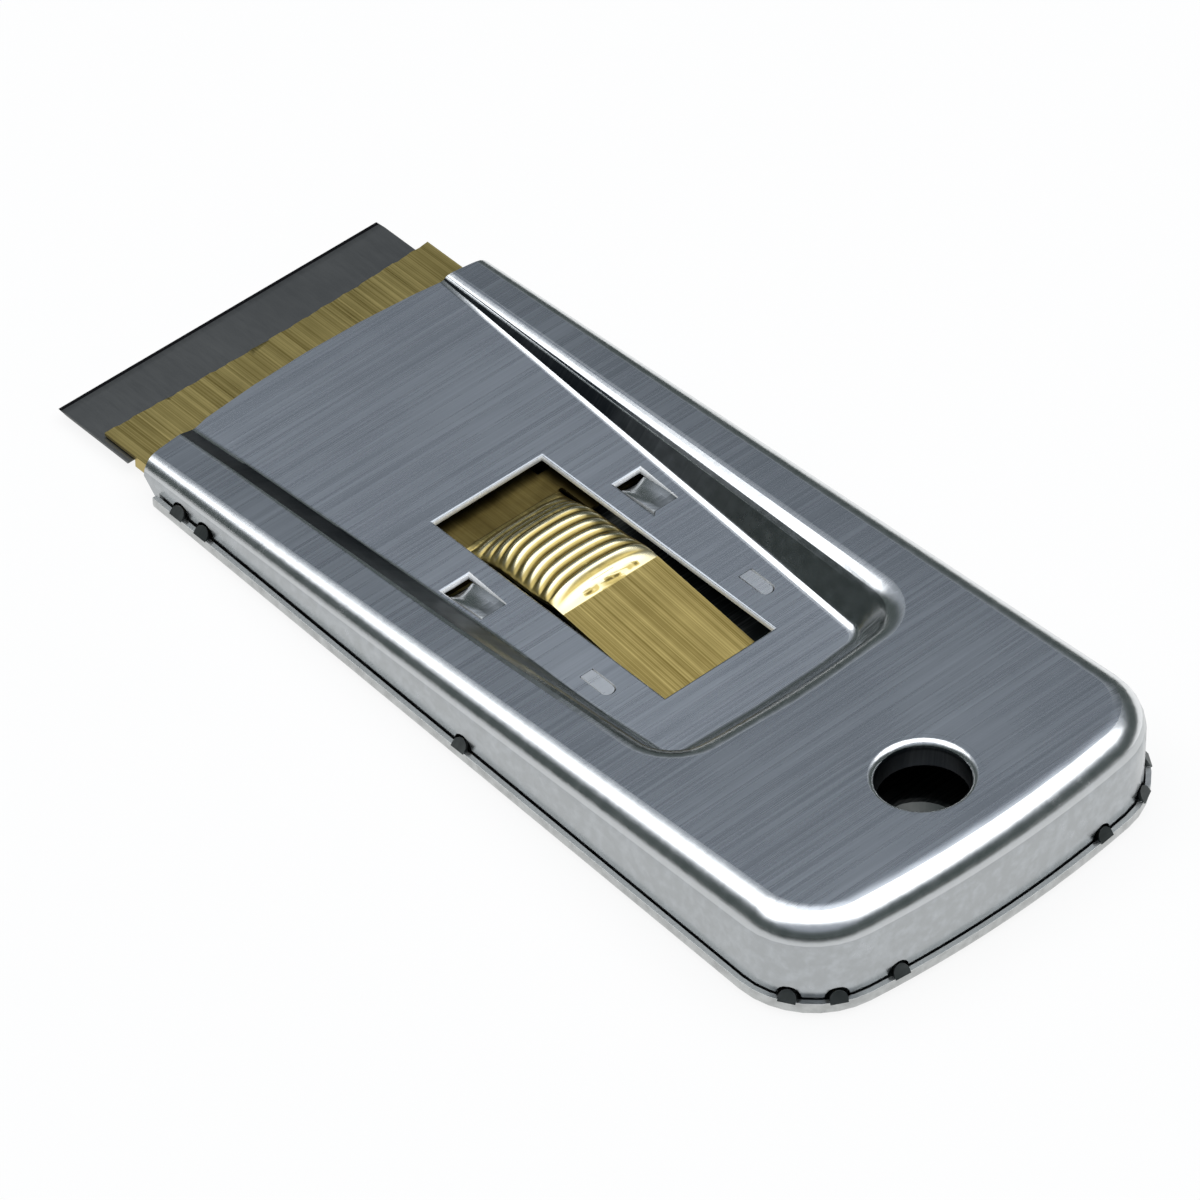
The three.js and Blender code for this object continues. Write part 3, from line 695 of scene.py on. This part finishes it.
@dataclass
class TopCover(Stamping):
    """The upper shell, with pale cut edges round its openings that are partly painted highlight,
    and painted shade in its bore and on its panel's side walls.
    """

    node: str = "top_cover"
    body: str = "case"
    slot: str = "brushed_case_steel"
    finish: MetalFinish = BRUSHED_CASE
    edge_radius: float = 0.08 * MM
    rolled_radius: float = 0.3 * MM
    highlight_share: float = 0.9
    level: float = 0.98
    upright: float = 0.5
    panel_area: float = 20 * MM * MM
    bore_radius: float = 4.35 * MM
    openings_half: float = 13 * MM
    openings_y: Span = (-12 * MM, 22 * MM)
    recess: RecessWall = field(default_factory=RecessWall)
    recess_half: Span = (11.5 * MM, 19.5 * MM)
    # tilt spans of the side walls that take painted shade, wider on the left
    recess_left: Span = (0.4, 0.96)
    recess_right: Span = (0.4, 0.7)
    lance_half: Span = (8.3 * MM, 10.5 * MM)
    lance_y: Span = (-8 * MM, 1 * MM)
    # lance walls facing further left than this take a painted highlight, the others painted shade
    lance_side: float = -0.3
    lance_highlight: float = 0.6
    lance_sink: float = 0.015 * MM
    tongue_half: Span = (8.7 * MM, 11.7 * MM)
    tongue_y: Span = (8.2 * MM, 13.5 * MM)
    tongue_area: float = 3 * MM * MM
    tongue_edge: float = 0.6
    punched: tuple[tuple[Span, Span], ...] = (
        ((-1.0 * MM, 6.6 * MM), (-12 * MM, 22 * MM)),
        ((8.5 * MM, 12.0 * MM), (8.6 * MM, 15.5 * MM)))

    def shape(self, mesh: bmesh.types.BMesh) -> None:
        """Cuts the side walls of the sunk panel into rows and draws the left one wider.

        Args:
            mesh: the piece's mesh.
        """
        for row in self.recess.rows:
            faces = [face for face in mesh.faces if self.recess.holds(face)]
            self.score(mesh, faces, Vector((0, row, 0)), Vector((0, 1, 0)))
        walls = [face for face in mesh.faces if self.recess.holds(face)]
        for vert in {vert for face in walls for vert in face.verts}:
            if vert.co.x < 0:
                vert.co = self.recess.redrawn(vert.co)
        mesh.normal_update()

    def rolled(self, edge: bmesh.types.BMEdge) -> bool:
        """Whether an edge is an upper rim of the window or of a tongue's opening.

        Args:
            edge: a sharp edge.

        Returns:
            True on such a rim.
        """
        middle = (edge.verts[0].co + edge.verts[1].co) / 2
        inside = any(within(abs(middle.x), across) and within(middle.y, along)
                     for across, along in self.punched)
        panel = [face for face in edge.link_faces
                 if face.normal.z > self.level and face.calc_area() > self.panel_area]
        return inside and bool(panel)

    def mark(self, mesh: bmesh.types.BMesh) -> None:
        """Marks the cut faces, painted shade in the bore and on the panel's side walls, painted
        highlight and shade on the lances, and the tongues.

        Args:
            mesh: the piece's mesh.
        """
        cut_and_highlight = mesh.faces.layers.float[CUT_AND_HIGHLIGHT]
        painted_shade_and_tarnish = mesh.faces.layers.float[PAINTED_SHADE_AND_TARNISH]
        brushed = mesh.faces.layers.float[BRUSHED]
        painted_highlight = mesh.faces.layers.float[PAINTED_HIGHLIGHT]
        for face in mesh.faces:
            centre = face.calc_center_median()
            aside, rise = abs(centre.x), face.normal.z
            upright = abs(rise) < self.upright
            # the bore's walls take painted shade instead of the edge colour
            if upright and math.hypot(centre.x, centre.y - HOLE_Y) < self.bore_radius:
                face[painted_shade_and_tarnish] = 1.0
                face[cut_and_highlight] = 0.0
            elif upright and aside < self.openings_half and within(centre.y, self.openings_y):
                face[cut_and_highlight] = 1.0
            # the panel's side walls take painted shade, over more of the left wall than the right,
            # and no painted highlight
            tilt = self.recess_left if centre.x < 0 else self.recess_right
            inward = face.normal.x * centre.x < 0 and within(aside, self.recess_half)
            if inward and within(rise, tilt):
                face[painted_shade_and_tarnish] = self.recess.dark(centre.y)
                face[painted_highlight] = 0.0
            lanced = within(aside, self.lance_half) and within(centre.y, self.lance_y)
            # lance walls: those facing left take the edge colour as a painted highlight, the others
            # the shadow colour as painted shade
            if lanced and 0 < rise < self.level:
                face[cut_and_highlight] = 1.0 if face.normal.x < self.lance_side else 0.0
                face[painted_shade_and_tarnish] = 1 - face[cut_and_highlight]
            # sunk lance tops take a painted highlight
            elif lanced and rise > 0 and self.recess.sunk(centre) > self.lance_sink:
                face[painted_highlight] = self.lance_highlight
            tongue = within(aside, self.tongue_half) and within(centre.y, self.tongue_y)
            if tongue and face.calc_area() < self.tongue_area:
                face[brushed] = 0.0
                face[cut_and_highlight] = face[cut_and_highlight] * self.tongue_edge


@dataclass
class BottomTray(Stamping):
    """The lower shell, with pressed crimps along its rim, which take painted shade like its bore.
    """

    node: str = "bottom_tray"
    body: str = "case"
    slot: str = "tray_steel"
    finish: MetalFinish = SATIN_TRAY
    edge_radius: float = 0.09 * MM
    rim_top: float = 1.7 * MM
    bore_radius: float = 6.5 * MM
    bore_level: float = -0.5
    bore_dark: float = 0.95
    tab_level: float = 0.9
    tab_dark: float = 0.85
    edge_left: float = 0.15

    def mark(self, mesh: bmesh.types.BMesh) -> None:
        """Darkens the crimp tabs above the rim and the bore with painted shade.

        Args:
            mesh: the piece's mesh.
        """
        cut_and_highlight = mesh.faces.layers.float[CUT_AND_HIGHLIGHT]
        painted_shade_and_tarnish = mesh.faces.layers.float[PAINTED_SHADE_AND_TARNISH]
        for face in mesh.faces:
            centre = face.calc_center_median()
            rise = face.normal.z
            bore = math.hypot(centre.x, centre.y - HOLE_Y) < self.bore_radius
            tab = max(vert.co.z for vert in face.verts) > self.rim_top
            # the bore and the crimp tabs take painted shade; their cut edges keep little of the
            # edge colour
            if bore and rise > self.bore_level or tab and abs(rise) < self.tab_level:
                face[painted_shade_and_tarnish] = self.bore_dark if bore else self.tab_dark
                face[cut_and_highlight] = face[cut_and_highlight] * self.edge_left


@dataclass
class ThumbRest:
    """The crowned, ridged part of the brass strip, measured in the frame of its slide."""

    front_y: float = -28.0 * MM
    length: float = 13.3 * MM
    half: float = 5.6 * MM
    base: float = 2.02 * MM
    crown: Span = (2.6 * MM, 1.7 * MM)
    side_drop: Span = (1.3 * MM, 0.25 * MM)
    rise_run: float = 5.2 * MM
    fall_run: float = 2.0 * MM
    fall_power: float = 1.15
    tail_step: float = 1.0 * MM
    side_roll: float = 0.75 * MM
    roll_ends: float = 0.3
    roll_start: float = 0.5
    sheet: float = 0.35 * MM
    ridge_pitch: float = 1.12 * MM
    ridge_height: float = 0.24 * MM
    ridge_arc: float = 0.6 * MM
    ridge_arc_run: float = 1.5 * MM
    ridge_margin: float = 0.5 * MM
    ridge_side_power: int = 8
    groove: float = 0.15
    groove_span: float = 0.861
    bar: float = 0.6
    bar_start: float = 3.0
    dent_depth: float = 1.6
    dent_place: float = 0.5 * MM
    dent_run: float = 0.2 * MM
    dent_reach: float = 1.4
    dent_half: float = 3.6 * MM
    dent_level: float = 0.25
    dent_waves: Waves = ((1.0, 2.3, 0.0), (0.7, 5.3, 1.0))
    slide_y: float = 45.664 * MM
    slide_tilt: float = -0.92

    @property
    def slide(self) -> Matrix:
        """Frame of the slide, whose base is tilted with the blade."""
        turn = Matrix.Rotation(math.radians(self.slide_tilt), 4, "X")
        return Matrix.Translation((0, self.slide_y, 0)) @ turn

    def fall(self, behind: float) -> float:
        """Share of the drop to the tail.

        Args:
            behind: distance behind the front of the rest.

        Returns:
            0 on the rest and 1 at its rear.
        """
        return held((behind - self.length) / self.fall_run + 1) ** self.fall_power

    def roll(self, x: float, y: float) -> float:
        """How far the rest's sides are rolled down.

        Args:
            x: place across the strip.
            y: place along the slide.

        Returns:
            The drop, nothing in the middle and at both ends.
        """
        along = (self.front_y - y) / self.length
        ends = held(along / self.roll_ends) * held((1 - along) / self.roll_ends)
        aside = held((abs(x) / self.half - self.roll_start) / (1 - self.roll_start))
        return self.side_roll * ends * aside ** 2

    def dents(self, x: float, behind: float) -> float:
        """Dents that the bending tool left along the rear of the rest, darkened with painted shade.

        Args:
            x: place across the strip.
            behind: distance behind the front of the rest.

        Returns:
            How deep a mark is, from 0 to 1.
        """
        if abs(x) >= self.dent_half:
            return 0.0
        near = self.dent_reach - abs(behind - self.length + self.dent_place) / self.dent_run
        return held(near) * held(uneven(x, self.dent_waves) + self.dent_level)

    def ridge(self, x: float, y: float) -> float:
        """Place between two ridges.

        Args:
            x: place across the strip.
            y: place along the slide.

        Returns:
            From -1 in a groove to 1 on a crest, and 0 where the ridges end; the rear roll is
            raised, to paint its highlight, and the dents lowered, to paint their shade.
        """
        behind = self.front_y - y
        aside = abs(x) / self.half
        turn = (behind - self.ridge_margin - self.ridge_arc * aside ** 2) / self.ridge_pitch
        start = held(behind / self.ridge_pitch)
        wave = math.hypot(math.sin(math.pi * turn), self.groove) - self.groove
        crest = wave / self.groove_span
        shape = (2 * crest - 1) * start * (1 - aside ** self.ridge_side_power)
        fall = self.fall(behind)
        # the rear roll is lifted in the ridge value, which raises it a little and paints a
        # highlight on it
        bar = self.bar * min(fall * self.bar_start, 1.0)
        return shape * (1 - fall) ** 2 + bar - self.dent_depth * self.dents(x, behind)

    def height(self, x: float, y: float) -> float:
        """Height of the upper face.

        Args:
            x: place across the strip.
            y: place along the slide.

        Returns:
            The height above the slide's base.
        """
        behind = self.front_y - y
        aside = abs(x) / self.half
        along = held(behind / self.length)
        rise = eased(held(behind / self.rise_run))
        crown = self.crown[0] + (self.crown[1] - self.crown[0]) * along ** 2
        drop = self.side_drop[0] + (self.side_drop[1] - self.side_drop[0]) * along
        crown -= drop * aside ** 3
        fall = self.fall(behind)
        start = held(behind / self.ridge_pitch) * (1 - aside ** self.ridge_side_power) * (1 - fall)
        ridge = self.ridge_height * max(self.ridge(x, y) * (1 - fall) + start, 0) / 2
        return self.base + rise * crown * (1 - fall) + ridge + self.tail_step * fall


@dataclass
class BladeCarrier(Stamping):
    """The brass carrier, with an uneven sheared front edge, a neck darkened by painted shadow and
    tarnish, and a darker tail.
    """

    node: str = "blade_carrier"
    body: str = "carriage"
    slot: str = "spring_brass"
    finish: MetalFinish = ROLLED_BRASS
    edge_radius: float = 0.04 * MM
    shear_cuts: int = 70
    shear_depth: float = 1.2 * MM
    shear_height: float = 0.05 * MM
    shear_waves: Waves = ((1.0, 2.3, 0.0), (0.7, 5.1, 1.0), (0.5, 0.9, 2.0))
    upper_level: float = 0.1
    strip_half: float = 5.7 * MM
    neck_y: Span = (17.5 * MM, 28.6 * MM)
    neck_dark: float = 0.8
    neck_grain: float = 0.35
    tail_dark: float = 0.35
    thumb: ThumbRest = field(default_factory=ThumbRest)
    thumb_rear: float = 4.33 * MM
    thumb_cuts: tuple[int, int] = (48, 142)
    thumb_slack: float = 0.001 * MM
    thumb_merge: float = 0.002 * MM
    thumb_margin: float = 0.01 * MM

    def shape(self, mesh: bmesh.types.BMesh) -> None:
        """Gives the sheared front edge its small waves and the thumb rest its round ridges.

        Args:
            mesh: the piece's mesh.
        """
        self.refine_thumb(mesh)
        low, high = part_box(self.node)
        front = high.y - self.shear_depth
        for step in range(1, self.shear_cuts):
            x = low.x + (high.x - low.x) * step / self.shear_cuts
            faces = [face for face in mesh.faces if max(vert.co.y for vert in face.verts) > front]
            self.score(mesh, faces, Vector((x, 0, 0)), Vector((1, 0, 0)))
        for vert in mesh.verts:
            if vert.co.y > front:
                vert.co.y += self.shear_height * uneven(vert.co.x, self.shear_waves)

    def mark(self, mesh: bmesh.types.BMesh) -> None:
        """Darkens the neck with painted shadow and tarnish, and darkens the tail.

        Args:
            mesh: the piece's mesh.
        """
        painted_shade_and_tarnish = mesh.faces.layers.float[PAINTED_SHADE_AND_TARNISH]
        brushed = mesh.faces.layers.float[BRUSHED]
        for face in mesh.faces:
            centre = face.calc_center_median()
            if abs(centre.x) > self.strip_half or face.normal.z < self.upper_level:
                continue
            # the neck takes painted shadow, with some tarnish; the tail is darker too
            if within(centre.y, self.neck_y):
                face[painted_shade_and_tarnish] = self.neck_dark
                face[brushed] = self.neck_grain
            elif centre.y < self.thumb_rear:
                face[painted_shade_and_tarnish] = self.tail_dark
                face[brushed] = 1.0

    def drawn(self, edge: bmesh.types.BMEdge) -> bool:
        """Whether an edge lies in a groove or on a crest of the thumb rest.

        Args:
            edge: a sharp edge.

        Returns:
            True where it does.
        """
        return all(self.on_thumb(face) for face in edge.link_faces)

    def on_thumb(self, face: bmesh.types.BMFace) -> bool:
        """Whether a face is part of the thumb rest's upper side.

        Args:
            face: a face of the mesh.

        Returns:
            True where it is.
        """
        if face.normal.z <= self.upper_level:
            return False
        inverse = self.thumb.slide.inverted()
        places = [inverse @ vert.co for vert in face.verts]
        half = self.thumb.half + self.thumb_slack
        length = (-self.thumb_slack, self.thumb.length + self.thumb_slack)
        return all(abs(place.x) <= half and within(self.thumb.front_y - place.y, length)
                   for place in places)

    def refine_thumb(self, mesh: bmesh.types.BMesh) -> None:
        """Cuts the thumb rest's upper face finely, with round crests and narrow grooves.

        Args:
            mesh: the piece's mesh.
        """
        ridge = mesh.verts.layers.float.new(RIDGE)
        thumb = self.thumb
        slide = thumb.slide
        top = [face for face in mesh.faces if self.on_thumb(face)]
        top = bmesh.ops.join_triangles(mesh, faces=top, angle_face_threshold=math.pi,
                                       angle_shape_threshold=math.pi)["faces"]
        across, along = self.thumb_cuts
        columns = [(slide @ Vector((thumb.half * (2 * n / across - 1), 0, 0)), Vector((1, 0, 0)))
                   for n in range(1, across)]
        rows = [(slide @ Vector((0, thumb.front_y - thumb.length * n / along, 0)),
                 slide.to_3x3() @ Vector((0, 1, 0))) for n in range(1, along)]
        edges = {edge for face in top for edge in face.edges}
        geometry = {*top, *edges, *(vert for face in top for vert in face.verts)}
        for place, way in columns + rows:
            made = bmesh.ops.bisect_plane(mesh, geom=list(geometry), dist=self.thumb_merge,
                                          plane_co=place, plane_no=way)
            geometry = set(made["geom"]) | set(made["geom_cut"])
        inverse = slide.inverted()
        for vert in mesh.verts:
            place = inverse @ vert.co
            ends = min(thumb.front_y - place.y, place.y - thumb.front_y + thumb.length)
            if abs(place.x) > thumb.half + self.thumb_slack or ends < self.thumb_margin:
                continue
            if vert in geometry:
                arc = thumb.ridge_arc * (place.x / thumb.half) ** 2
                place.y -= arc * min(ends / thumb.ridge_arc_run, 1.0)
                vert[ridge] = thumb.ridge(place.x, place.y)
                place.z = thumb.height(place.x, place.y)
            elif place.z < thumb.base + self.thumb_margin - thumb.sheet:
                continue
            place.z -= thumb.roll(place.x, place.y)
            vert.co = slide @ place


@dataclass
class RazorBlade(Stamping):
    """The blade, with a dark honed line along its cutting edge."""

    node: str = "razor_blade"
    body: str = "carriage"
    slot: str = "blade_steel"
    finish: MetalFinish = DARK_BLADE
    edge_radius: float = 0.012 * MM
    hone: float = 0.42 * MM

    def hone_line(self) -> float:
        """Place along the case where the honed edge begins."""
        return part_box(self.node)[1].y - self.hone

    def shape(self, mesh: bmesh.types.BMesh) -> None:
        """Scores the line where the honed edge begins.

        Args:
            mesh: the piece's mesh.
        """
        self.score(mesh, list(mesh.faces), Vector((0, self.hone_line(), 0)), Vector((0, 1, 0)))

    def mark(self, mesh: bmesh.types.BMesh) -> None:
        """Darkens the honed edge only.

        Args:
            mesh: the piece's mesh.
        """
        cut_and_highlight = mesh.faces.layers.float[CUT_AND_HIGHLIGHT]
        line = self.hone_line()
        for face in mesh.faces:
            face[cut_and_highlight] = 1.0 if face.calc_center_median().y > line else 0.0


@dataclass
class BladeSpine(Stamping):
    """The folded strip on the blade's back."""

    node: str = "blade_spine"
    body: str = "carriage"
    slot: str = "spine_steel"
    finish: MetalFinish = FOLDED_SPINE
    edge_radius: float = 0.03 * MM


@dataclass
class Case:
    """The two stamped shells that make the case."""

    cover: TopCover = field(default_factory=TopCover)
    tray: BottomTray = field(default_factory=BottomTray)

    def build(self) -> list[bpy.types.Object]:
        """Builds and dresses both shells.

        Returns:
            The finished shells.
        """
        return [shell.dress(shell.build()) for shell in (self.cover, self.tray)]


@dataclass
class Carriage:
    """The brass carrier with the blade and its folded back."""

    carrier: BladeCarrier = field(default_factory=BladeCarrier)
    blade: RazorBlade = field(default_factory=RazorBlade)
    spine: BladeSpine = field(default_factory=BladeSpine)

    def build(self) -> list[bpy.types.Object]:
        """Builds and dresses the carrier, the blade and its back.

        Returns:
            The finished pieces.
        """
        return [piece.dress(piece.build()) for piece in (self.carrier, self.blade, self.spine)]


@dataclass
class Studio:
    """Pale floor, soft light from above and a camera at the photograph's angle."""

    floor_half: float = 3.0
    floor_gap: float = 0.05 * MM
    floor_white: float = 0.88
    floor_colour: Colour = (0.9, 0.9, 0.9, 1)
    floor_glow: Colour = (1, 1, 1, 1)
    box_height: float = 1.0
    box_reach: Span = (-0.55, 0.68)
    box_half_width: float = 1.15
    box_radiance: float = 1.7
    room_rise: Span = (0.48, 0.68)
    room_low: Colour = (0.058, 0.072, 0.07, 1)
    room_high: Colour = (0.345, 0.375, 0.425, 1)
    aim: Vector = field(default_factory=lambda: Vector((-3.05, 2.48, 5.28)) * MM)
    azimuth: float = -42.05
    elevation: float = 44.0
    distance: float = 739.4 * MM
    lens: float = 253.0
    sensor: float = 36.0
    clip: Span = (0.01, 50.0)

    def far_way(self) -> Vector:
        """Level direction from the camera past the object."""
        turn = math.radians(self.azimuth)
        return Vector((-math.sin(turn), math.cos(turn), 0))

    def floor(self) -> bpy.types.Object:
        """Lays the floor, which shows white to the eye and to polished metal and keeps the shadow.

        Returns:
            The floor.
        """
        mesh = bmesh.new()
        bmesh.ops.create_grid(mesh, x_segments=1, y_segments=1, size=self.floor_half)
        bmesh.ops.translate(mesh, verts=mesh.verts, vec=(0, 0, -self.floor_gap))
        data = bpy.data.meshes.new("floor")
        mesh.to_mesh(data)
        mesh.free()
        made = bpy.data.objects.new("floor", data)
        bpy.context.scene.collection.objects.link(made)
        material = bpy.data.materials.new("pale_floor")
        material.use_nodes = True
        sheet = Sheet(material.node_tree)
        seen = sheet.node("ShaderNodeLightPath").outputs
        looks = Value(sheet, seen["Is Camera Ray"]).most(Value(sheet, seen["Is Glossy Ray"]))
        looks = looks.most(Value(sheet, seen["Is Transmission Ray"]))
        matte = sheet.node("ShaderNodeBsdfDiffuse", None, {"Color": self.floor_colour})
        glow = sheet.node("ShaderNodeEmission", None, {"Color": self.floor_glow, "Strength": 1.0})
        both = sheet.node("ShaderNodeMixShader", None, {
            0: looks * self.floor_white, 1: matte.outputs[0], 2: glow.outputs[0]})
        sheet.node("ShaderNodeOutputMaterial", None, {"Surface": both.outputs[0]})
        data.materials.append(material)
        return made

    def light(self) -> None:
        """Hangs the soft box overhead and sets the room's even glow, darker near the horizon."""
        far = self.far_way()
        low, high = self.box_reach
        lamp = bpy.data.lights.new("overhead_box", "AREA")
        lamp.shape = "RECTANGLE"
        lamp.size = 2 * self.box_half_width * self.box_height
        lamp.size_y = (high - low) * self.box_height
        lamp.energy = self.box_radiance * math.pi * lamp.size * lamp.size_y
        made = bpy.data.objects.new("overhead_box", lamp)
        middle = (low + high) / 2 * self.box_height
        made.location = far * middle + Vector((0, 0, self.box_height))
        made.rotation_euler = (0, 0, math.radians(self.azimuth))
        bpy.context.scene.collection.objects.link(made)
        world = bpy.data.worlds.new("room")
        bpy.context.scene.world = world
        world.use_nodes = True
        sheet = Sheet(world.node_tree)
        way = sheet.node("ShaderNodeTexCoord").outputs["Generated"]
        parts = sheet.node("ShaderNodeSeparateXYZ", None, {0: way})
        rise = Value(sheet, parts.outputs["Z"])
        tint = sheet.mix(rise.above(*self.room_rise), self.room_low, self.room_high)
        glow = sheet.node("ShaderNodeBackground", None, {"Color": tint, "Strength": 1.0})
        sheet.node("ShaderNodeOutputWorld", None, {"Surface": glow.outputs[0]})

    def camera(self) -> bpy.types.Object:
        """Sets the camera.

        Returns:
            The camera.
        """
        lens = bpy.data.cameras.new("camera")
        lens.lens = self.lens
        lens.sensor_width = self.sensor
        lens.clip_start, lens.clip_end = self.clip
        made = bpy.data.objects.new("camera", lens)
        bpy.context.scene.collection.objects.link(made)
        rise = math.radians(self.elevation)
        back = -self.far_way() * math.cos(rise) + Vector((0, 0, math.sin(rise)))
        made.location = self.aim + back * self.distance
        made.rotation_mode = "QUATERNION"
        made.rotation_quaternion = (-back).to_track_quat("-Z", "Y")
        bpy.context.scene.camera = made
        return made

    def build(self) -> None:
        """Sets the floor, the light and the camera."""
        self.floor()
        self.light()
        self.camera()
        bpy.context.scene.view_settings.view_transform = "Standard"


def main() -> None:
    """Builds the scraper and its studio."""
    logging.basicConfig(level=logging.INFO, format="%(message)s")
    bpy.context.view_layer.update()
    Studio().build()
    for piece in Case().build() + Carriage().build():
        LOG.info("finished %s", piece.name)


if __name__ == "__main__":
    main()
